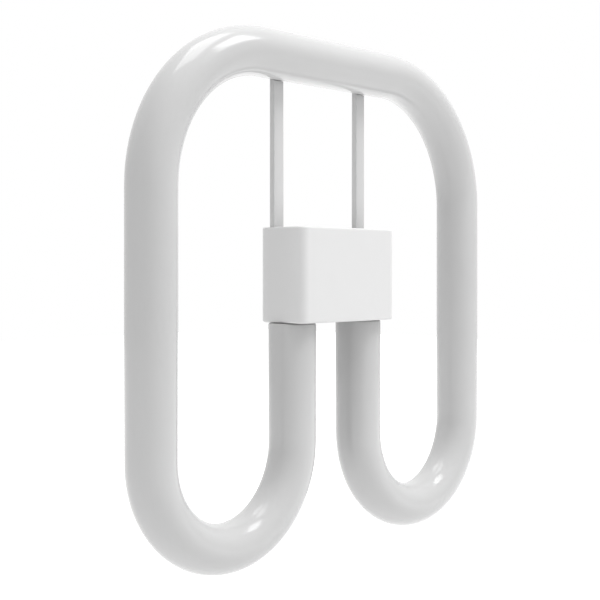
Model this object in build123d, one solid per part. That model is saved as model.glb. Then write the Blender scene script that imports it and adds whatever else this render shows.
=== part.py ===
from build123d import *
import os

# Light tube: one milky tube, bent flat into two D-shaped loops
lamp_width = 205.0  # over the two outer legs
lamp_height = 207.0  # from the lower bends to the top of the upper run
tube_diameter = 19.0
inner_leg_spacing = 40.8  # between the axes of the two legs that enter the base
top_bend_radius = 54.5  # on the tube's axis
neck_diameter = 11.0  # stepped-down end of the tube, inside the base
neck_length = 8.0
shoulder_chamfer = 0.8
bond_gap = 0.2  # adhesive line between the tube and the pieces that hold it

# Base: a deep moulded housing, closed at the back by a cover
base_height = 37.7
base_depth = 24.0
base_rise = 8.0  # middle of the base above the middle of the lamp
base_side_margin = 8.1  # from a leg's axis to the side of the base
base_corner_radius = 3.4  # upright edges
base_edge_round = 0.8  # upper and lower edges
base_wall = 1.8
tube_set_in = 0.9  # back of the tube in front of the seating plane
fit_gap = 0.1  # between moulded pieces that fit together
cover_depth = 4.0  # from the parting plane to the seating plane
cover_plate = 2.0
lip_depth = 2.0  # rim of the cover that goes inside the housing
lip_thickness = 1.2

# Struts: flat bars from the base to the upper run
strut_inset = 3.3  # middle of a strut from the side of the base
strut_width = 5.3
strut_thickness = 2.5
strut_lock = 1.2  # wall of the cover behind each strut
tang_width = 3.2
foot_reach = 2.0
foot_height = 2.4

# Contact pins: four in a square, on the seating plane
pin_pitch = 10.0
pin_diameter = 2.4
pin_length = 7.0  # proud of the seating plane
pin_tip_chamfer = 0.6
pin_shank_diameter = 2.8  # thicker root inside the cover, flush with the seating plane
pin_boss_wall = 1.2
pin_gap = 0.05
tail_diameter = 1.2
tail_proud = 0.6
tail_gap = 0.1

# Cover screws
screw_inset = 4.6  # screw axis from the top or the bottom of the base
screw_diameter = 2.2
screw_length = 9.0
screw_tip = 1.5
screw_point_diameter = 0.6
screw_head_diameter = 4.0
screw_head_height = 1.3
screw_head_sunk = 0.2
screw_gap = 0.1
screw_boss_wall = 1.3
recess_width = 0.6
recess_length = 2.2
recess_depth = 0.7
boss_web = 1.2

# Driver board and what stands on it
board_standoff = 4.0
board_thickness = 1.6
board_gap = 0.4
capacitor_diameter = 8.0
capacitor_length = 12.5
capacitor_groove = 0.5
choke_diameter = 7.6
choke_height = 8.0
choke_flange = 1.2
choke_winding_step = 0.9
chip_length = 4.9
chip_width = 3.9
chip_height = 1.5
rectifier_length = 6.5
rectifier_width = 5.2
rectifier_height = 2.5
leg_width = 0.5
leg_reach = 0.9
leg_height = 0.6
resistor_diameter = 3.2
resistor_length = 9.0
resistor_wire = 0.7
resistor_wire_reach = 2.5
lead_diameter = 1.0
lead_spacing = 3.0
lead_length = 5.0
column_x = 14.0  # parts on each side of the board's middle
upper_row_z = 5.0
lower_row_z = -3.5

# Places worked out from the sizes above. Y = 0 is the seating plane, Z = 0 the middle of the base
tube_radius = tube_diameter / 2
tube_y = -(tube_set_in + tube_radius)
outer_leg_x = lamp_width / 2 - tube_radius
inner_leg_x = inner_leg_spacing / 2
lower_bend_radius = (outer_leg_x - inner_leg_x) / 2
upper_run_z = lamp_height / 2 - base_rise - tube_radius
lower_bend_z = tube_radius + lower_bend_radius - lamp_height / 2 - base_rise
base_half_width = inner_leg_x + base_side_margin
base_top = base_height / 2
shoulder_z = -base_top - bond_gap
neck_top = shoulder_z + neck_length
neck_radius = neck_diameter / 2
parting_y = -cover_depth
lip_end = parting_y - lip_depth
cavity_half_width = base_half_width - base_wall
cavity_top = base_top - base_wall
cavity_front = base_wall - base_depth
cavity_corner_radius = max(base_corner_radius - base_wall, base_edge_round)
strut_x = base_half_width - strut_inset
strut_rear = parting_y - strut_lock
strut_front = strut_rear - strut_thickness
strut_inner_x = strut_x - strut_width / 2
tang_outer_x = strut_inner_x + tang_width
foot_top = cavity_top - fit_gap
foot_bottom = foot_top - foot_height
screw_z = base_top - screw_inset
screw_radius = screw_diameter / 2
screw_boss_radius = screw_radius + screw_gap + screw_boss_wall
head_under_y = -(screw_head_sunk + screw_head_height)
screw_tip_y = head_under_y - screw_length
pin_shank_radius = pin_shank_diameter / 2
pin_bore_radius = pin_shank_radius + pin_gap
board_rear = -(cover_plate + board_standoff)
board_front = board_rear - board_thickness
board_half_width = cavity_half_width - fit_gap - lip_thickness - board_gap
board_top = screw_z - screw_boss_radius - board_gap
board_bottom = neck_top + board_gap
sides = (-1, 1)
pin_places = [(x * pin_pitch / 2, z * pin_pitch / 2) for z in (1, -1) for x in sides]


def block(x_range, y_range, z_range):
    corners = list(zip(x_range, y_range, z_range))
    size = [high - low for low, high in zip(*corners)]
    middle = [(low + high) / 2 for low, high in zip(*corners)]
    return Pos(*middle) * Box(*size)


def post(radius, x, z, y_from, y_to):
    middle = (y_from + y_to) / 2
    return Pos(x, middle, z) * Rot(X=90) * Cylinder(radius, abs(y_to - y_from))


def upright(radius, x, y, z_from, z_to):
    return Pos(x, y, (z_from + z_to) / 2) * Cylinder(radius, z_to - z_from)


def tube_path():
    with BuildLine(Plane.XZ.offset(-tube_y)) as path:
        leg = Line((inner_leg_x, shoulder_z), (inner_leg_x, lower_bend_z))
        bend = JernArc(leg @ 1, leg % 1, lower_bend_radius, 180)
        outer = Line(bend @ 1, (outer_leg_x, upper_run_z - top_bend_radius))
        corner = JernArc(outer @ 1, outer % 1, top_bend_radius, 90)
        run = Line(corner @ 1, (top_bend_radius - outer_leg_x, upper_run_z))
        corner = JernArc(run @ 1, run % 1, top_bend_radius, 90)
        outer = Line(corner @ 1, (-outer_leg_x, lower_bend_z))
        bend = JernArc(outer @ 1, outer % 1, lower_bend_radius, 180)
        Line(bend @ 1, (-inner_leg_x, shoulder_z))
    return path.line


def light_tube():
    path = tube_path()
    section = Plane(path @ 0, z_dir=path % 0) * Circle(tube_radius)
    tube = sweep(section, path=path)
    ends = tube.faces().filter_by(Axis.Z)
    tube = chamfer(ends.edges(), shoulder_chamfer)
    for side in sides:
        tube += upright(neck_radius, side * inner_leg_x, tube_y, shoulder_z - shoulder_chamfer, neck_top)
    return tube


def neck_room():
    radius = neck_radius + bond_gap
    room_top = neck_top + bond_gap
    return [upright(radius, side * inner_leg_x, tube_y, shoulder_z, room_top) for side in sides]


def strut(side):
    outline = Polyline(
        (strut_inner_x, upper_run_z),
        (strut_inner_x, foot_top),
        (strut_inner_x - foot_reach, foot_top),
        (strut_inner_x - foot_reach, foot_bottom),
        (tang_outer_x, foot_bottom),
        (tang_outer_x, base_top),
        (strut_inner_x + strut_width, base_top),
        (strut_inner_x + strut_width, upper_run_z),
        close=True,
    )
    bar = extrude(Plane.XZ.offset(-strut_rear) * make_face(outline), strut_thickness)
    seat = Pos(0, tube_y, upper_run_z) * Rot(Y=90) * Cylinder(tube_radius + bond_gap, lamp_width)
    bar -= seat
    return bar if side > 0 else mirror(bar, Plane.YZ)


def tang_room(room_rear):
    depth = (strut_front - fit_gap, room_rear)
    tang = (strut_inner_x - fit_gap, tang_outer_x + fit_gap)
    foot = (strut_inner_x - foot_reach - fit_gap, strut_inner_x)
    room = block(tang, depth, (foot_bottom - fit_gap, base_top))
    room += block(foot, depth, (foot_bottom - fit_gap, cavity_top))
    return [room, mirror(room, Plane.YZ)]


def base_outer():
    outline = RectangleRounded(2 * base_half_width, base_depth, base_corner_radius)
    body = Pos(0, -base_depth / 2, -base_top) * extrude(outline, base_height)
    return fillet(body.faces().filter_by(Axis.Z).edges(), base_edge_round)


def base_housing():
    shell = split(base_outer(), bisect_by=Plane.XZ.offset(-parting_y), keep=Keep.TOP)
    opening = RectangleRounded(2 * cavity_half_width, -cavity_front, cavity_corner_radius)
    shell -= Pos(0, cavity_front / 2, -cavity_top) * extrude(opening, 2 * cavity_top)
    root_y = cavity_front - base_wall / 2
    for end in sides:
        shell += post(screw_boss_radius, 0, end * screw_z, root_y, parting_y)
        web_ends = sorted((end * screw_z, end * (base_top - base_wall / 2)))
        shell += block((-boss_web / 2, boss_web / 2), (root_y, lip_end - fit_gap), web_ends)
    for end in sides:
        shell -= post(screw_radius + screw_gap, 0, end * screw_z, parting_y, screw_tip_y - screw_tip)
    return shell - neck_room() - tang_room(parting_y)


def rear_cover():
    cover = split(base_outer(), bisect_by=Plane.XZ.offset(-parting_y), keep=Keep.BOTTOM)
    lip_x = cavity_half_width - fit_gap
    lip_z = cavity_top - fit_gap
    lip = block((-lip_x, lip_x), (lip_end, parting_y), (-lip_z, lip_z))
    for end in sides:
        lip -= post(screw_boss_radius + fit_gap, 0, end * screw_z, lip_end, parting_y)
    cover += lip
    rim_x = lip_x - lip_thickness
    rim_z = lip_z - lip_thickness
    cover -= block((-rim_x, rim_x), (lip_end, -cover_plate), (-rim_z, rim_z))
    cover = cover - neck_room() - tang_room(strut_rear + fit_gap)
    for lock in strut_locks():
        cover += lock
    for x, z in pin_places:
        cover += post(pin_bore_radius + pin_boss_wall, x, z, -cover_plate / 2, board_rear)
    for end in sides:
        cover += post(screw_boss_radius, 0, end * screw_z, -cover_plate / 2, parting_y)
    for x, z in pin_places:
        cover -= post(pin_bore_radius, x, z, 0, board_rear)
    for end in sides:
        cover -= post(screw_radius + screw_gap, 0, end * screw_z, 0, parting_y)
        cover -= post(screw_head_diameter / 2 + screw_gap, 0, end * screw_z, 0, head_under_y)
    return cover


def strut_locks():
    depth = (strut_rear + fit_gap, parting_y + cover_depth / 2)
    lock = block((strut_inner_x, tang_outer_x), depth, (cavity_top, base_top))
    return [lock, mirror(lock, Plane.YZ)]


def cover_screw(end):
    z = end * screw_z
    screw = post(screw_head_diameter / 2, 0, z, -screw_head_sunk, head_under_y)
    screw += post(screw_radius, 0, z, head_under_y, screw_tip_y + screw_tip)
    point = Cone(screw_radius, screw_point_diameter / 2, screw_tip)
    screw += Pos(0, screw_tip_y + screw_tip / 2, z) * Rot(X=90) * point
    for long, wide in ((recess_length, recess_width), (recess_width, recess_length)):
        recess = (-screw_head_sunk - recess_depth, 0)
        screw -= block((-long / 2, long / 2), recess, (z - wide / 2, z + wide / 2))
    return screw


def contact_pin(x, z):
    pin = post(pin_diameter / 2, x, z, 0, pin_length)
    pin = chamfer(pin.edges().sort_by(Axis.Y)[-1], pin_tip_chamfer)
    pin += post(pin_shank_radius, x, z, board_rear, 0)
    return pin + post(tail_diameter / 2, x, z, board_rear, board_front - tail_proud)


def driver_board():
    span = (-board_half_width, board_half_width)
    board = block(span, (board_front, board_rear), (board_bottom, board_top))
    for x, z in pin_places:
        board -= post(tail_diameter / 2 + tail_gap, x, z, board_rear, board_front)
    return board


def capacitor(side):
    radius = capacitor_diameter / 2
    half = capacitor_length / 2
    profile = Polyline(
        (0, -half),
        (radius, -half),
        (radius, half - 3 * capacitor_groove),
        (radius - capacitor_groove, half - 2 * capacitor_groove),
        (radius, half - capacitor_groove),
        (radius, half),
        (0, half),
        close=True,
    )
    can = revolve(Plane.XZ * make_face(profile), Axis.Z)
    return Pos(side * column_x, board_front - radius, upper_row_z) * Rot(Y=side * 90) * can


def power_choke():
    top_y = board_front - choke_height
    drum = post(choke_diameter / 2 - choke_winding_step, 0, upper_row_z, board_front, top_y)
    drum += post(choke_diameter / 2, 0, upper_row_z, board_front, board_front - choke_flange)
    drum += post(choke_diameter / 2, 0, upper_row_z, top_y + choke_flange, top_y)
    return drum


def leaded_block(x, z, length, width, height, legs):
    half_x = length / 2
    half_z = width / 2
    body = block((x - half_x, x + half_x), (board_front - height, board_front), (z - half_z, z + half_z))
    pitch = length / legs
    for place in range(legs):
        leg_x = x - half_x + (place + 0.5) * pitch
        leg_span = (leg_x - leg_width / 2, leg_x + leg_width / 2)
        reach = half_z + leg_reach
        body += block(leg_span, (board_front - leg_height, board_front), (z - reach, z + reach))
    return body


def fuse_resistor():
    y = board_front - resistor_diameter / 2
    body = Pos(column_x, y, lower_row_z) * Rot(Y=90) * Cylinder(resistor_diameter / 2, resistor_length)
    span = resistor_length + 2 * resistor_wire_reach
    body += Pos(column_x, y, lower_row_z) * Rot(Y=90) * Cylinder(resistor_wire / 2, span)
    for side in sides:
        foot_x = column_x + side * (span - resistor_wire) / 2
        body += post(resistor_wire / 2, foot_x, lower_row_z, y, board_front)
    return body


def tube_leads(side):
    y = board_front - lead_diameter / 2
    places = [side * inner_leg_x + half * lead_spacing / 2 for half in sides]
    leads = [upright(lead_diameter / 2, x, y, neck_top, neck_top + lead_length) for x in places]
    return Compound(children=leads)


def make_pieces():
    pieces = {
        "light_tube": light_tube(),
        "base_housing": base_housing(),
        "rear_cover": rear_cover(),
        "strut_left": strut(-1),
        "strut_right": strut(1),
        "cover_screw_upper": cover_screw(1),
        "cover_screw_lower": cover_screw(-1),
        "driver_board": driver_board(),
        "input_capacitor": capacitor(-1),
        "output_capacitor": capacitor(1),
        "power_choke": power_choke(),
        "driver_chip": leaded_block(0, lower_row_z, chip_length, chip_width, chip_height, 4),
        "bridge_rectifier": leaded_block(
            -column_x, lower_row_z, rectifier_length, rectifier_width, rectifier_height, 2
        ),
        "fuse_resistor": fuse_resistor(),
        "tube_leads_left": tube_leads(-1),
        "tube_leads_right": tube_leads(1),
    }
    for number, (x, z) in enumerate(pin_places, start=1):
        pieces[f"contact_pin_{number}"] = contact_pin(x, z)
    return pieces


os.makedirs("parts", exist_ok=True)
for name, piece in make_pieces().items():
    export_step(piece, f"parts/{name}.step")
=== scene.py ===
import math

import bmesh
import bpy
from mathutils import Matrix, Vector


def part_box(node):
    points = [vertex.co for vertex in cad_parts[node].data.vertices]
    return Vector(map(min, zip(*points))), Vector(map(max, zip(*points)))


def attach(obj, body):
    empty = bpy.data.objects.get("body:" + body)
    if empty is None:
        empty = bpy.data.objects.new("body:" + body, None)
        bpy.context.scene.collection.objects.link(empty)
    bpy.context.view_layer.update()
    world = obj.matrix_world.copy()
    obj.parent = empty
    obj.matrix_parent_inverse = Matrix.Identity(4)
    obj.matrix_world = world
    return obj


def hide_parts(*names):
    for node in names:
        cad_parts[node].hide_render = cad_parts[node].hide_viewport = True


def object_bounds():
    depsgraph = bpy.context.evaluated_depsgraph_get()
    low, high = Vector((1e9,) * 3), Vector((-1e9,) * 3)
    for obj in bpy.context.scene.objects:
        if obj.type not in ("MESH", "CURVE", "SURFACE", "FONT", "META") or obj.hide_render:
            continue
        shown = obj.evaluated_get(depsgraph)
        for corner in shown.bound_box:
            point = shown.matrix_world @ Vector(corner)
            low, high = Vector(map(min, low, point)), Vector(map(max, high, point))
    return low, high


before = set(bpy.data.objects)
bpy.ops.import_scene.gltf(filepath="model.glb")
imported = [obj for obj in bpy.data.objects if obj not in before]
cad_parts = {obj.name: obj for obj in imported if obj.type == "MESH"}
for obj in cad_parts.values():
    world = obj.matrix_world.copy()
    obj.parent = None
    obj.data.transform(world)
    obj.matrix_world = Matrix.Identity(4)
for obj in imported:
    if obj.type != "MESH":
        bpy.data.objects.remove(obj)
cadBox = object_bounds()
mm = 0.001  # pieces are modelled in millimetres and scaled to metres at the end
near = 0.001  # closer than this many millimetres counts as the same place
print("frame loaded with", len(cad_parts), "nodes")


def boxOf(node):
    low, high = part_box(node)
    return low / mm, high / mm


# Small helpers for shader trees

def addNode(tree, kind, **settings):
    node = tree.nodes.new(kind)
    for key, value in settings.items():
        setattr(node, key, value)
    return node


def newGroup(name, inputs, outputs):
    group = bpy.data.node_groups.new(name, "ShaderNodeTree")
    for label, kind in inputs.items():
        group.interface.new_socket(name=label, in_out="INPUT", socket_type="NodeSocket" + kind)
    for label, kind in outputs.items():
        group.interface.new_socket(name=label, in_out="OUTPUT", socket_type="NodeSocket" + kind)
    return group, group.nodes.new("NodeGroupInput"), group.nodes.new("NodeGroupOutput")


def feed(tree, value, socket):  # links an output, or sets a plain value
    if isinstance(value, bpy.types.NodeSocket):
        tree.links.new(value, socket)
    else:
        socket.default_value = value


def blendColour(tree, factor, first, second, mode="MIX"):  # by the mix node's colour sockets
    mix = addNode(tree, "ShaderNodeMix", data_type="RGBA", blend_type=mode)
    for socket, value in ((mix.inputs[0], factor), (mix.inputs[6], first), (mix.inputs[7], second)):
        feed(tree, value, socket)
    return mix.outputs[2]


def spread(tree, value, low, high, fromRange=(0.3, 0.7)):  # noise rarely leaves that band
    ranged = addNode(tree, "ShaderNodeMapRange")
    ranged.inputs["From Min"].default_value, ranged.inputs["From Max"].default_value = fromRange
    feed(tree, value, ranged.inputs["Value"])
    feed(tree, low, ranged.inputs["To Min"])
    feed(tree, high, ranged.inputs["To Max"])
    return ranged.outputs["Result"]


def noiseAt(tree, place, scale, detail):
    noise = addNode(tree, "ShaderNodeTexNoise")
    noise.inputs["Detail"].default_value = detail
    tree.links.new(place, noise.inputs["Vector"])
    tree.links.new(scale, noise.inputs["Scale"])
    return noise.outputs["Fac"]


# Moulded plastic: faintly cloudy colour, uneven gloss, mould grain, and painted shade, where ambient
# occlusion darkens the colour in joints and where parts stand close
def makeMouldedGroup():
    group, start, end = newGroup(
        "mouldedFinishAndPaintedShade",
        {"Place": "Vector", "Light": "Color", "Shade": "Color", "Smoothest": "Float", "Roughest": "Float",
         "Grain Scale": "Float", "Cloud Scale": "Float", "Shade Openness": "Float", "Painted Shade Tone": "Float"},
        {"Colour": "Color", "Roughness": "Float", "Relief": "Float"},
    )
    place = start.outputs["Place"]
    cloud = noiseAt(group, place, start.outputs["Cloud Scale"], detail=4.0)
    grain = noiseAt(group, place, start.outputs["Grain Scale"], detail=2.0)
    colour = blendColour(group, cloud, start.outputs["Light"], start.outputs["Shade"])
    # painted shade: the colour is darkened towards the tone where ambient occlusion finds little open space
    paintedShade = spread(group, start.outputs["Shade Openness"], start.outputs["Painted Shade Tone"], 1.0, (0, 1))
    colourWithPaintedShade = blendColour(group, 1.0, colour, paintedShade, "MULTIPLY")
    gloss = spread(group, cloud, start.outputs["Smoothest"], start.outputs["Roughest"])
    group.links.new(colourWithPaintedShade, end.inputs["Colour"])
    group.links.new(gloss, end.inputs["Roughness"])
    group.links.new(grain, end.inputs["Relief"])
    return group


# Turned metal: rings left by the tool along Y, under a patchy plating
def makeTurnedGroup():
    group, start, end = newGroup(
        "turnedFinish",
        {"Place": "Vector", "Light": "Color", "Shade": "Color", "Smoothest": "Float", "Roughest": "Float",
         "Ring Scale": "Float", "Patch Scale": "Float"},
        {"Colour": "Color", "Roughness": "Float", "Relief": "Float"},
    )
    place = start.outputs["Place"]
    patch = noiseAt(group, place, start.outputs["Patch Scale"], detail=3.0)
    rings = addNode(group, "ShaderNodeTexWave", wave_type="BANDS", bands_direction="Y")
    rings.inputs["Distortion"].default_value = 1.5
    group.links.new(place, rings.inputs["Vector"])
    group.links.new(start.outputs["Ring Scale"], rings.inputs["Scale"])
    colour = blendColour(group, patch, start.outputs["Light"], start.outputs["Shade"])
    gloss = spread(group, patch, start.outputs["Smoothest"], start.outputs["Roughest"])
    group.links.new(colour, end.inputs["Colour"])
    group.links.new(gloss, end.inputs["Roughness"])
    group.links.new(rings.outputs["Fac"], end.inputs["Relief"])
    return group


mouldedGroup = makeMouldedGroup()
turnedGroup = makeTurnedGroup()
print("shared finishes ready")


def grey(level):
    return (level, level, level, 1.0)


def newMaterial(name):
    material = bpy.data.materials.new(name)
    material.use_nodes = True
    tree = material.node_tree
    return material, tree, tree.nodes["Principled BSDF"]


def placeIn(tree, stretch=(1, 1, 1)):
    coordinate = addNode(tree, "ShaderNodeTexCoord")
    mapping = addNode(tree, "ShaderNodeMapping")
    mapping.inputs["Scale"].default_value = stretch
    tree.links.new(coordinate.outputs["Object"], mapping.inputs["Vector"])
    return mapping.outputs["Vector"]


def addRelief(tree, shader, height, depth, strength):
    bump = addNode(tree, "ShaderNodeBump")
    bump.inputs["Strength"].default_value = strength
    bump.inputs["Distance"].default_value = depth * mm
    tree.links.new(height, bump.inputs["Height"])
    tree.links.new(bump.outputs["Normal"], shader.inputs["Normal"])


def finishWith(group, name, look):
    material, tree, shader = newMaterial(name)
    finish = addNode(tree, "ShaderNodeGroup", node_tree=group)
    tree.links.new(placeIn(tree, look.get("stretch", (1, 1, 1))), finish.inputs["Place"])
    for label, value in look["group"].items():
        finish.inputs[label].default_value = value
    if "paintedShadeReach" in look:
        # painted shade: ambient occlusion within this reach darkens the base colour
        paintedShade = addNode(tree, "ShaderNodeAmbientOcclusion", samples=12)
        paintedShade.inputs["Distance"].default_value = look["paintedShadeReach"] * mm
        tree.links.new(paintedShade.outputs["AO"], finish.inputs["Shade Openness"])
    addRelief(tree, shader, finish.outputs["Relief"], look["reliefDepth"], look["reliefStrength"])
    tree.links.new(finish.outputs["Colour"], shader.inputs["Base Color"])
    tree.links.new(finish.outputs["Roughness"], shader.inputs["Roughness"])
    for label, value in look.get("plain", {}).items():
        shader.inputs[label].default_value = value
    return material


# Visible finishes, one dictionary each. The moulded ones also paint shade into their colour near other
# surfaces, down to a tone within a reach in mm
tubeLook = {
    "group": {"Light": grey(0.68), "Shade": grey(0.66), "Smoothest": 0.10, "Roughest": 0.14,
              "Grain Scale": 500.0, "Cloud Scale": 30.0, "Painted Shade Tone": 0.45},
    # painted shade reaching far enough to darken the legs where they face each other and under the base
    "paintedShadeReach": 28,
    "reliefDepth": 0.02,
    "reliefStrength": 0.06,
    "plain": {"IOR": 1.4},
}
baseLook = {
    "group": {"Light": grey(0.87), "Shade": grey(0.85), "Smoothest": 0.40, "Roughest": 0.50,
              "Grain Scale": 3200.0, "Cloud Scale": 90.0, "Painted Shade Tone": 0.7},
    "paintedShadeReach": 5,
    "reliefDepth": 0.03,
    "reliefStrength": 0.12,
}
strutLook = {
    "group": {"Light": grey(0.74), "Shade": grey(0.71), "Smoothest": 0.32, "Roughest": 0.42,
              "Grain Scale": 2600.0, "Cloud Scale": 160.0, "Painted Shade Tone": 0.58},
    "stretch": (1, 1, 0.04),  # drawn out along the bar
    "paintedShadeReach": 15,
    "reliefDepth": 0.02,
    "reliefStrength": 0.1,
}
pinLook = {
    "group": {"Light": (0.76, 0.73, 0.68, 1), "Shade": (0.62, 0.58, 0.51, 1), "Smoothest": 0.18,
              "Roughest": 0.32, "Ring Scale": 1400.0, "Patch Scale": 500.0},
    "reliefDepth": 0.01,
    "reliefStrength": 0.15,
    "plain": {"Metallic": 1.0},
}
screwLook = {
    "group": {"Light": (0.66, 0.66, 0.67, 1), "Shade": (0.48, 0.48, 0.50, 1), "Smoothest": 0.24,
              "Roughest": 0.40, "Ring Scale": 1600.0, "Patch Scale": 700.0},
    "reliefDepth": 0.01,
    "reliefStrength": 0.15,
    "plain": {"Metallic": 1.0},
}
milkyTube = finishWith(mouldedGroup, "milkyTube", tubeLook)
basePlastic = finishWith(mouldedGroup, "basePlastic", baseLook)
strutPlastic = finishWith(mouldedGroup, "strutPlastic", strutLook)
pinMetal = finishWith(turnedGroup, "pinMetal", pinLook)
screwSteel = finishWith(turnedGroup, "screwSteel", screwLook)
print("visible finishes ready")


# Making pieces

def vertsOf(geom):
    return [item for item in geom if isinstance(item, bmesh.types.BMVert)]


def edgesOf(geom):
    return [item for item in geom if isinstance(item, bmesh.types.BMEdge)]


def roundEdges(bm, edges, size, steps):
    bmesh.ops.bevel(bm, geom=edges, offset=size, segments=steps, profile=0.5, affect="EDGES", material=-1)


def shapePiece(name, bm, material, nodes, sharpAngle=35):
    bmesh.ops.remove_doubles(bm, verts=bm.verts, dist=near / 2)
    bmesh.ops.recalc_face_normals(bm, faces=bm.faces)
    bmesh.ops.scale(bm, vec=(mm, mm, mm), verts=bm.verts)
    mesh = bpy.data.meshes.new(name)
    bm.to_mesh(mesh)
    bm.free()
    mesh.shade_smooth()
    mesh.set_sharp_from_angle(angle=math.radians(sharpAngle))
    mesh.materials.append(material)
    piece = bpy.data.objects.new(name, mesh)
    bpy.context.scene.collection.objects.link(piece)
    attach(piece, "root")
    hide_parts(*nodes)
    print("made", name, "with", len(mesh.polygons), "faces")


# Light tube: a ring swept along half of its path, then mirrored
tubeShape = {
    "radius": 9.5,
    "topBend": 54.5,  # on the tube's axis
    "legSpacing": 40.8,  # between the two legs that enter the base
    "bondGap": 0.2,  # from the base down to the shoulder
    "shoulderRound": 0.8,
    "shoulderSteps": 5,
    "neckRadius": 5.5,
    "neckLength": 8.0,
    "sides": 80,
    "halfTurnSteps": 60,
}


def runOn(bm, ring, step):
    made = bmesh.ops.extrude_edge_only(bm, edges=ring)["geom"]
    newVerts = vertsOf(made)
    bmesh.ops.translate(bm, vec=step, verts=newVerts)
    return [edge for edge in edgesOf(made) if all(vert in newVerts for vert in edge.verts)]


def turnOn(bm, ring, centre, degrees, halfTurnSteps):
    steps = round(halfTurnSteps * degrees / 180)
    made = bmesh.ops.spin(
        bm, geom=ring, cent=centre, axis=(0, 1, 0), angle=math.radians(degrees), steps=steps
    )
    return edgesOf(made["geom_last"])


def makeTube(shape):
    low, high = boxOf("light_tube")
    baseLow = boxOf("base_housing")[0]
    radius, topBend, halfTurnSteps = shape["radius"], shape["topBend"], shape["halfTurnSteps"]
    outerX = high.x - radius
    innerX = shape["legSpacing"] / 2
    axisY = (low.y + high.y) / 2
    runZ = high.z - radius
    lowerBend = (outerX - innerX) / 2
    lowerZ = low.z + radius + lowerBend
    shoulderZ = baseLow.z - shape["bondGap"]
    bm = bmesh.new()
    bmesh.ops.create_circle(bm, segments=shape["sides"], radius=radius)
    bmesh.ops.rotate(bm, verts=bm.verts, matrix=Matrix.Rotation(math.pi / 2, 3, "Y"))
    bmesh.ops.translate(bm, verts=bm.verts, vec=(0, axisY, runZ))
    ring = runOn(bm, bm.edges[:], (outerX - topBend, 0, 0))
    ring = turnOn(bm, ring, (outerX - topBend, axisY, runZ - topBend), 90, halfTurnSteps)
    ring = runOn(bm, ring, (0, 0, lowerZ - runZ + topBend))
    ring = turnOn(bm, ring, (outerX - lowerBend, axisY, lowerZ), 180, halfTurnSteps)
    ring = runOn(bm, ring, (0, 0, shoulderZ - lowerZ))
    cap = bmesh.ops.contextual_create(bm, geom=ring)["faces"]
    bmesh.ops.inset_region(bm, faces=cap, thickness=radius - shape["neckRadius"], use_even_offset=True)
    neck = bmesh.ops.extrude_face_region(bm, geom=cap)["geom"]
    bmesh.ops.delete(bm, geom=cap, context="FACES_ONLY")  # the extrusion leaves it inside
    bmesh.ops.translate(bm, vec=(0, 0, shape["neckLength"]), verts=vertsOf(neck))
    roundEdges(bm, ring, shape["shoulderRound"], shape["shoulderSteps"])
    bmesh.ops.mirror(bm, geom=bm.verts[:] + bm.edges[:] + bm.faces[:], axis="X", merge_dist=near)
    shapePiece("lightTube", bm, milkyTube, ["light_tube"])


makeTube(tubeShape)

# Struts: flat bars with a tang and a foot below the shoulder, saddled to the tube at the top
strutShape = {
    "width": 5.3,
    "tangWidth": 3.2,
    "footHeight": 2.4,
    "seatRadius": 9.7,  # the tube and its line of adhesive
    "seatCuts": 7,
    "edgeRound": 0.2,
    "edgeSteps": 3,
}


def makeStrut(side, name, node, shape):
    low, high = boxOf(node)
    tubeLow, tubeHigh = boxOf("light_tube")
    baseTop = boxOf("base_housing")[1].z
    axisY = (tubeLow.y + tubeHigh.y) / 2
    runZ = tubeHigh.z - tubeShape["radius"]
    outer = max(side * low.x, side * high.x)
    footInner = min(side * low.x, side * high.x)
    inner = outer - shape["width"]
    tangOuter = inner + shape["tangWidth"]
    footTop = low.z + shape["footHeight"]
    corners = [
        (inner, high.z), (inner, footTop), (footInner, footTop), (footInner, low.z),
        (tangOuter, low.z), (tangOuter, baseTop), (outer, baseTop), (outer, high.z),
    ]
    bm = bmesh.new()
    face = bm.faces.new([bm.verts.new((side * x, low.y, z)) for x, z in corners])
    made = bmesh.ops.extrude_face_region(bm, geom=[face])["geom"]
    thickness = high.y - low.y
    bmesh.ops.translate(bm, vec=(0, thickness, 0), verts=vertsOf(made))
    barLength = high.z - baseTop
    upright = [edge for edge in bm.edges if edge.calc_length() >= barLength]
    roundEdges(bm, upright, shape["edgeRound"], shape["edgeSteps"])
    tops = [vert for vert in bm.verts if vert.co.z > high.z - near]
    across = [edge for edge in bm.edges if all(vert in tops for vert in edge.verts)]
    across = [edge for edge in across if abs(edge.verts[0].co.y - edge.verts[1].co.y) > thickness / 2]
    bmesh.ops.subdivide_edges(bm, edges=across, cuts=shape["seatCuts"], use_grid_fill=True)
    for vert in bm.verts:
        if vert.co.z > high.z - near:  # drop the end onto the round of the tube
            vert.co.z = runZ - math.sqrt(shape["seatRadius"] ** 2 - (vert.co.y - axisY) ** 2)
    shapePiece(name, bm, strutPlastic, [node])


makeStrut(-1, "strutLeft", "strut_left", strutShape)
makeStrut(1, "strutRight", "strut_right", strutShape)

# Contact pins: a turned profile, spun about its own axis
pinShape = {
    "tailRadius": 0.6,
    "shankRadius": 1.4,
    "pinRadius": 1.2,
    "tipRound": 0.6,
    "tipSteps": 6,
    "tailRound": 0.15,
    "tailSteps": 2,
    "sides": 40,
}


def spinProfile(bm, profile, x, z, sides):
    points = [bm.verts.new((x + radius, y, z)) for radius, y in profile]
    edges = [bm.edges.new(pair) for pair in zip(points, points[1:])]
    bmesh.ops.spin(
        bm, geom=points + edges, cent=(x, 0, z), axis=(0, 1, 0), angle=2 * math.pi,
        steps=sides, use_merge=True,
    )
    bmesh.ops.remove_doubles(bm, verts=bm.verts, dist=near / 2)


def ringAt(bm, x, z, radius, y):
    def onRing(vert):
        return abs(vert.co.y - y) < near and abs(math.hypot(vert.co.x - x, vert.co.z - z) - radius) < near
    return [edge for edge in bm.edges if all(onRing(vert) for vert in edge.verts)]


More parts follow.
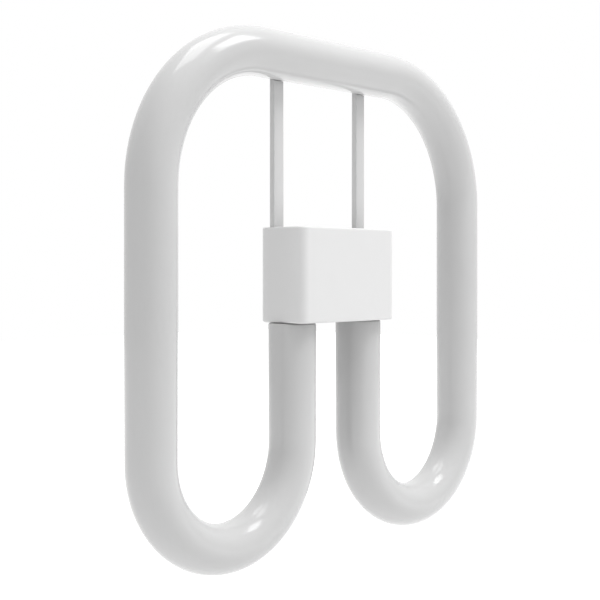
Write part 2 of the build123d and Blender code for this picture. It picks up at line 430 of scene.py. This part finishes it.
def makePin(number, shape):
    node = f"contact_pin_{number}"
    low, high = boxOf(node)
    boardRear = boxOf("driver_board")[1].y
    x, z = (low.x + high.x) / 2, (low.z + high.z) / 2
    shank, pin, tail = shape["shankRadius"], shape["pinRadius"], shape["tailRadius"]
    profile = [
        (0, low.y), (tail, low.y), (tail, boardRear), (shank, boardRear),
        (shank, 0), (pin, 0), (pin, high.y), (0, high.y),
    ]
    bm = bmesh.new()
    spinProfile(bm, profile, x, z, shape["sides"])
    roundEdges(bm, ringAt(bm, x, z, pin, high.y), shape["tipRound"], shape["tipSteps"])
    roundEdges(bm, ringAt(bm, x, z, tail, low.y), shape["tailRound"], shape["tailSteps"])
    shapePiece(f"contactPin{number}", bm, pinMetal, [node])


for number in (1, 2, 3, 4):
    makePin(number, pinShape)

# Cover screws: a pan head with a cross recess, a shank and a point
screwShape = {
    "headRadius": 2.0,
    "headHeight": 1.3,
    "headRound": 0.45,
    "headSteps": 4,
    "shankRadius": 1.1,
    "tipLength": 1.5,
    "tipRadius": 0.3,
    "recessLength": 2.2,
    "recessWidth": 0.6,
    "recessDepth": 0.7,
    "recessTaper": 0.75,
    "sides": 36,
}


def makeScrew(name, node, shape):
    low, high = boxOf(node)
    z = (low.z + high.z) / 2
    head, shank, point = shape["headRadius"], shape["shankRadius"], shape["tipRadius"]
    under = high.y - shape["headHeight"]
    taper = low.y + shape["tipLength"]
    profile = [
        (head, high.y), (head, under), (shank, under), (shank, taper), (point, low.y), (0, low.y),
    ]
    bm = bmesh.new()
    spinProfile(bm, profile, 0, z, shape["sides"])
    rim = ringAt(bm, 0, z, head, high.y)
    bmesh.ops.contextual_create(bm, geom=rim)
    roundEdges(bm, rim, shape["headRound"], shape["headSteps"])
    cap = [face for face in bm.faces if all(abs(vert.co.y - high.y) < near for vert in face.verts)]
    halves = (shape["recessLength"] / 2, shape["recessWidth"] / 2)
    for half in halves:
        for sign in (-1, 1):
            for middle, normal in (((sign * half, 0, z), (1, 0, 0)), ((0, 0, z + sign * half), (0, 0, 1))):
                geom = cap + [edge for face in cap for edge in face.edges]
                geom += [vert for face in cap for vert in face.verts]
                cut = bmesh.ops.bisect_plane(bm, geom=list(set(geom)), plane_co=middle, plane_no=normal)
                cap = [item for item in cut["geom"] if isinstance(item, bmesh.types.BMFace)]
    long, short = halves

    def inCross(face):
        where = face.calc_center_median()
        along, across = sorted((abs(where.x), abs(where.z - z)), reverse=True)
        return along < long and across < short

    cross = [face for face in cap if inCross(face)]
    floor = vertsOf(bmesh.ops.extrude_face_region(bm, geom=cross)["geom"])
    bmesh.ops.delete(bm, geom=cross, context="FACES")  # left inside, as at the neck
    bmesh.ops.translate(bm, vec=(0, -shape["recessDepth"], 0), verts=floor)
    taperBy = (shape["recessTaper"], 1, shape["recessTaper"])
    bmesh.ops.scale(bm, vec=taperBy, verts=floor, space=Matrix.Translation((0, 0, -z)))
    # keeps slivers out of the export
    wide = [face for face in bm.faces if len(face.verts) > 4]  # wide faces are split into triangles here, without slivers
    bmesh.ops.triangulate(bm, faces=wide, ngon_method="BEAUTY")
    shapePiece(name, bm, screwSteel, [node])


makeScrew("coverScrewUpper", "cover_screw_upper", screwShape)
makeScrew("coverScrewLower", "cover_screw_lower", screwShape)


# Nodes whose shape is right keep it and only get a finish
def dress(node, material):
    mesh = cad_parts[node].data
    mesh.materials.clear()
    mesh.materials.append(material)


for node in ("base_housing", "rear_cover"):
    dress(node, basePlastic)


# Parts inside the base: bands of other stuff lie across them, placed from their boxes
def makeBandGroup():
    group, start, end = newGroup(
        "bandMask", {"Value": "Float", "Low": "Float", "High": "Float"}, {"Mask": "Float"}
    )
    above = addNode(group, "ShaderNodeMath", operation="GREATER_THAN")
    below = addNode(group, "ShaderNodeMath", operation="LESS_THAN")
    both = addNode(group, "ShaderNodeMath", operation="MULTIPLY")
    for test, limit in ((above, "Low"), (below, "High")):
        group.links.new(start.outputs["Value"], test.inputs[0])
        group.links.new(start.outputs[limit], test.inputs[1])
    group.links.new(above.outputs["Value"], both.inputs[0])
    group.links.new(below.outputs["Value"], both.inputs[1])
    group.links.new(both.outputs["Value"], end.inputs["Mask"])
    return group


bandGroup = makeBandGroup()


def blendValue(tree, factor, first, second):  # by the mix node's number sockets
    mix = addNode(tree, "ShaderNodeMix", data_type="FLOAT")
    for socket, value in ((mix.inputs[0], factor), (mix.inputs[2], first), (mix.inputs[3], second)):
        feed(tree, value, socket)
    return mix.outputs[0]


def bandIn(tree, axes, axis, low, high):
    band = addNode(tree, "ShaderNodeGroup", node_tree=bandGroup)
    tree.links.new(axes.outputs[axis], band.inputs["Value"])
    band.inputs["Low"].default_value = low * mm
    band.inputs["High"].default_value = high * mm
    return band.outputs["Mask"]


roughSpread = 0.06  # either side of a part's own roughness
reliefStrength = 0.2


def bandedFinish(name, look):
    material, tree, shader = newMaterial(name)
    place = placeIn(tree)
    axes = addNode(tree, "ShaderNodeSeparateXYZ")
    tree.links.new(place, axes.inputs["Vector"])
    cloud = addNode(tree, "ShaderNodeTexNoise")
    cloud.inputs["Scale"].default_value = look["cloudScale"]
    tree.links.new(place, cloud.inputs["Vector"])
    colour = blendColour(tree, cloud.outputs["Fac"], look["light"], look["shade"])
    smoothest, roughest = look["rough"] - roughSpread, look["rough"] + roughSpread
    rough = blendValue(tree, cloud.outputs["Fac"], smoothest, roughest)
    metal = 0.0
    for axis, low, high, stuff in look["bands"]:
        mask = bandIn(tree, axes, axis, low, high)
        colour = blendColour(tree, mask, colour, stuff["colour"])
        rough = blendValue(tree, mask, rough, stuff["rough"])
        metal = blendValue(tree, mask, metal, stuff["metal"])
    tree.links.new(colour, shader.inputs["Base Color"])
    tree.links.new(rough, shader.inputs["Roughness"])
    tree.links.new(metal, shader.inputs["Metallic"])
    addRelief(tree, shader, cloud.outputs["Fac"], look["relief"], reliefStrength)
    return material


tin = {"colour": (0.70, 0.70, 0.69, 1), "rough": 0.3, "metal": 1.0}
copper = {"colour": (0.72, 0.30, 0.13, 1), "rough": 0.28, "metal": 1.0}
aluminium = {"colour": (0.78, 0.78, 0.80, 1), "rough": 0.25, "metal": 1.0}
rubber = {"colour": (0.02, 0.02, 0.02, 1), "rough": 0.75, "metal": 0.0}
stripe = {"colour": (0.60, 0.62, 0.62, 1), "rough": 0.4, "metal": 0.0}
brownBand = {"colour": (0.12, 0.05, 0.02, 1), "rough": 0.4, "metal": 0.0}
blackWire = {"colour": (0.03, 0.03, 0.03, 1), "rough": 0.45, "metal": 0.0}
laminateEdge = {"colour": (0.42, 0.36, 0.20, 1), "rough": 0.7, "metal": 0.0}
past = 1.0  # bands that run off a part reach this much beyond it
skin = 0.05  # depth of a band that colours only an end or a face


def dressBlock(node, legReach):  # black moulding with tinned legs at both long sides
    low, high = boxOf(node)
    look = {
        "light": grey(0.025), "shade": grey(0.04), "rough": 0.55, "cloudScale": 2500.0, "relief": 0.02,
        "bands": [
            ("Z", low.z - past, low.z + legReach, tin),
            ("Z", high.z - legReach, high.z + past, tin),
        ],
    }
    dress(node, bandedFinish(node + "Finish", look))


stripeDepth = 0.5  # of the can's round that the stripe takes up


def dressCan(node, openSide):  # sleeved can, bare at one end and stopped with rubber at the other
    low, high = boxOf(node)
    ends = [("X", low.x - past, low.x + skin), ("X", high.x - skin, high.x + past)]
    bung, bare = ends if openSide < 0 else ends[::-1]
    look = {
        "light": (0.02, 0.03, 0.07, 1), "shade": (0.03, 0.05, 0.10, 1), "rough": 0.35,
        "cloudScale": 300.0, "relief": 0.02,
        "bands": [("Y", low.y - past, low.y + stripeDepth, stripe), (*bung, rubber), (*bare, aluminium)],
    }
    dress(node, bandedFinish(node + "Finish", look))


def dressChoke(node, flange):  # ferrite drum with a copper winding between its flanges
    low, high = boxOf(node)
    look = {
        "light": grey(0.05), "shade": grey(0.08), "rough": 0.6, "cloudScale": 900.0, "relief": 0.03,
        "bands": [("Y", low.y + flange + skin / 2, high.y - flange - skin / 2, copper)],
    }
    dress(node, bandedFinish(node + "Finish", look))


ringPlaces = (1.6, 3.2, 4.8)  # from the end of the resistor's body
ringWidth = 0.7


def dressResistor(node, wireReach):  # lacquered body with rings of colour, on tinned wires
    low, high = boxOf(node)
    body = (low.x + wireReach, high.x - wireReach)
    rings = [("X", body[0] + at, body[0] + at + ringWidth, brownBand) for at in ringPlaces]
    look = {
        "light": (0.17, 0.33, 0.19, 1), "shade": (0.13, 0.27, 0.15, 1), "rough": 0.35,
        "cloudScale": 600.0, "relief": 0.02,
        "bands": rings + [
            ("X", low.x - past, body[0], tin),
            ("X", body[1], high.x + past, tin),
        ],
    }
    dress(node, bandedFinish(node + "Finish", look))


def dressLeads(node, bareEnd):  # tinned wires, sleeved red and black where they leave the tube
    low, high = boxOf(node)
    look = {
        "light": (0.45, 0.03, 0.02, 1), "shade": (0.38, 0.02, 0.02, 1), "rough": 0.4,
        "cloudScale": 700.0, "relief": 0.02,
        "bands": [
            ("X", low.x - past, (low.x + high.x) / 2, blackWire),
            ("Z", high.z - bareEnd, high.z + past, tin),
        ],
    }
    dress(node, bandedFinish(node + "Finish", look))


# Board: green mask over a net of tracks, with the bare laminate at its edges
boardLook = {
    "mask": (0.015, 0.12, 0.05, 1),
    "track": (0.04, 0.22, 0.09, 1),
    "trackScale": 170.0,
    "trackWidth": 0.05,
    "trackLength": 2.3,
    "trackPitch": 0.3,
    "rough": 0.3,
    "relief": 0.03,
    "reliefStrength": 0.4,
}


def dressBoard(node, look):
    low, high = boxOf(node)
    material, tree, shader = newMaterial("boardFinish")
    place = placeIn(tree)
    axes = addNode(tree, "ShaderNodeSeparateXYZ")
    flat = addNode(tree, "ShaderNodeCombineXYZ")
    tree.links.new(place, axes.inputs["Vector"])
    tree.links.new(axes.outputs["X"], flat.inputs["X"])
    tree.links.new(axes.outputs["Z"], flat.inputs["Y"])
    tracks = addNode(tree, "ShaderNodeTexBrick", offset=0.35)
    tracks.inputs["Color1"].default_value = look["mask"]
    tracks.inputs["Color2"].default_value = look["mask"]
    tracks.inputs["Mortar"].default_value = look["track"]
    tracks.inputs["Scale"].default_value = look["trackScale"]
    tracks.inputs["Mortar Size"].default_value = look["trackWidth"]
    tracks.inputs["Brick Width"].default_value = look["trackLength"]
    tracks.inputs["Row Height"].default_value = look["trackPitch"]
    tree.links.new(flat.outputs["Vector"], tracks.inputs["Vector"])
    edge = bandIn(tree, axes, "Y", low.y + skin, high.y - skin)
    colour = blendColour(tree, edge, tracks.outputs["Color"], laminateEdge["colour"])
    tree.links.new(colour, shader.inputs["Base Color"])
    tree.links.new(blendValue(tree, edge, look["rough"], laminateEdge["rough"]), shader.inputs["Roughness"])
    addRelief(tree, shader, tracks.outputs["Fac"], look["relief"], look["reliefStrength"])
    dress(node, material)


dressBoard("driver_board", boardLook)
dressBlock("driver_chip", legReach=0.9)
dressBlock("bridge_rectifier", legReach=0.9)
dressCan("input_capacitor", openSide=-1)
dressCan("output_capacitor", openSide=1)
dressChoke("power_choke", flange=1.2)
dressResistor("fuse_resistor", wireReach=2.5)
dressLeads("tube_leads_left", bareEnd=2.6)
dressLeads("tube_leads_right", bareEnd=2.6)
print("parts inside the base finished")

# Camera at the photograph's viewing angle
cameraView = {
    "place": (-357.90, -324.51, 2.10),
    "turn": -0.828,  # radians about the vertical
    "lens": 69.69,
    "shiftY": -0.0508,
    "sensorWidth": 36,
    "nearClip": 0.01,  # metres
}


def makeCamera(view):
    data = bpy.data.cameras.new("camera")
    data.lens = view["lens"]
    data.sensor_width = view["sensorWidth"]
    data.shift_y = view["shiftY"]
    data.clip_start = view["nearClip"]
    camera = bpy.data.objects.new("camera", data)
    camera.location = Vector(view["place"]) * mm
    camera.rotation_euler = (math.pi / 2, 0, view["turn"])
    bpy.context.scene.collection.objects.link(camera)
    bpy.context.scene.camera = camera


makeCamera(cameraView)
print("camera ready")

# Studio: a pale ground that keeps the shadow, a white surround and soft lamps. Lengths in metres
studio = {
    "halfSize": 2.5,
    "drop": 0.09,  # from the lowest point of the part down to the ground
    "groundColour": 0.85,
    "groundRoughness": 0.9,
    "groundCells": 8,
    "groundLift": 0.05,  # glow of the ground where it is seen, near the part
    "mirrorLift": 0.5,  # added to it where the ground is mirrored
    "fade": (0.12, 0.45),  # it turns white between these distances
    "ambient": 0.43,
}
lamps = {
    "overhead": {"place": (0, 0, 1.3), "size": (0.67, 0.79), "turn": cameraView["turn"], "power": 6.8},
    "overheadFill": {"place": (-0.15, -0.35, 1.3), "size": (0.7, 0.8), "turn": cameraView["turn"],
                     "power": 3.2, "shine": False},
    "key": {"place": (0.51, -0.615, 1.025), "size": (0.40, 0.48), "power": 4.9},
    "keyFill": {"place": (0.53, -0.64, 1.06), "size": (0.4, 0.5), "power": 1.2, "shine": False},
    "frontRight": {"place": (0.65, -1.22, 0.24), "size": (0.7, 0.7), "power": 1.5, "shine": False},
    "right": {"place": (1.39, 0, 0.2), "size": (0.7, 0.7), "power": 0.8, "shine": False},
    "left": {"place": (-1.39, 0, 0.2), "size": (0.25, 0.25), "power": 1.15, "shine": False},
    "back": {"place": (0, 1.2, 0.7), "size": (0.7, 0.7), "power": 2.2, "shine": False},
}


def seenDirectly(tree):
    path = addNode(tree, "ShaderNodeLightPath")
    seen = path.outputs["Is Camera Ray"]
    for label in ("Is Glossy Ray", "Is Transmission Ray"):
        either = addNode(tree, "ShaderNodeMath", operation="MAXIMUM")
        tree.links.new(seen, either.inputs[0])
        tree.links.new(path.outputs[label], either.inputs[1])
        seen = either.outputs["Value"]
    return seen


def groundMaterial(settings):
    material, tree, shader = newMaterial("paleGround")
    shader.inputs["Base Color"].default_value = grey(settings["groundColour"])
    shader.inputs["Roughness"].default_value = settings["groundRoughness"]
    shader.inputs["Specular IOR Level"].default_value = 0.0
    shader.inputs["Emission Color"].default_value = grey(1.0)
    away = addNode(tree, "ShaderNodeVectorMath", operation="LENGTH")
    tree.links.new(placeIn(tree, (1, 1, 0)), away.inputs[0])  # level distance
    fade = addNode(tree, "ShaderNodeMapRange")
    fade.inputs["From Min"].default_value, fade.inputs["From Max"].default_value = settings["fade"]
    low = addNode(tree, "ShaderNodeMath", operation="MULTIPLY_ADD")
    tree.links.new(addNode(tree, "ShaderNodeLightPath").outputs["Is Glossy Ray"], low.inputs[0])
    low.inputs[1].default_value = settings["mirrorLift"]
    low.inputs[2].default_value = settings["groundLift"]
    tree.links.new(low.outputs["Value"], fade.inputs["To Min"])
    tree.links.new(away.outputs["Value"], fade.inputs["Value"])
    glow = addNode(tree, "ShaderNodeMath", operation="MULTIPLY")
    tree.links.new(seenDirectly(tree), glow.inputs[0])
    tree.links.new(fade.outputs["Result"], glow.inputs[1])
    tree.links.new(glow.outputs["Value"], shader.inputs["Emission Strength"])
    return material


def makeGround(settings):
    bm = bmesh.new()
    cells = settings["groundCells"]
    bmesh.ops.create_grid(bm, x_segments=cells, y_segments=cells, size=settings["halfSize"])
    bmesh.ops.translate(bm, vec=(0, 0, cadBox[0].z - settings["drop"]), verts=bm.verts)
    mesh = bpy.data.meshes.new("ground")
    bm.to_mesh(mesh)
    bm.free()
    mesh.materials.append(groundMaterial(settings))
    ground = bpy.data.objects.new("ground", mesh)
    bpy.context.scene.collection.objects.link(ground)


def makeWorld(settings):
    world = bpy.data.worlds.new("studio")
    bpy.context.scene.world = world
    world.use_nodes = True
    tree = world.node_tree
    tree.nodes.clear()
    soft = addNode(tree, "ShaderNodeBackground")
    soft.inputs["Color"].default_value = grey(1.0)
    soft.inputs["Strength"].default_value = settings["ambient"]
    white = addNode(tree, "ShaderNodeBackground")
    white.inputs["Color"].default_value = grey(1.0)
    mix = addNode(tree, "ShaderNodeMixShader")
    tree.links.new(seenDirectly(tree), mix.inputs["Fac"])
    tree.links.new(soft.outputs["Background"], mix.inputs[1])
    tree.links.new(white.outputs["Background"], mix.inputs[2])
    output = addNode(tree, "ShaderNodeOutputWorld")
    tree.links.new(mix.outputs["Shader"], output.inputs["Surface"])


def makeLamp(name, lamp):
    data = bpy.data.lights.new(name, "AREA")
    data.shape = "RECTANGLE"
    data.size, data.size_y = lamp["size"]
    data.energy = lamp["power"]
    light = bpy.data.objects.new(name, data)
    light.location = lamp["place"]
    aim = (-Vector(lamp["place"])).to_track_quat("-Z", "Y").to_matrix()
    light.visible_glossy = lamp.get("shine", True)  # fills aren't mirrored in the tube
    light.rotation_euler = (aim @ Matrix.Rotation(lamp.get("turn", 0), 3, "Z")).to_euler()
    bpy.context.scene.collection.objects.link(light)


makeGround(studio)
makeWorld(studio)
for name, lamp in lamps.items():
    makeLamp(name, lamp)
bpy.context.scene.view_settings.view_transform = "Standard"
print("studio ready")
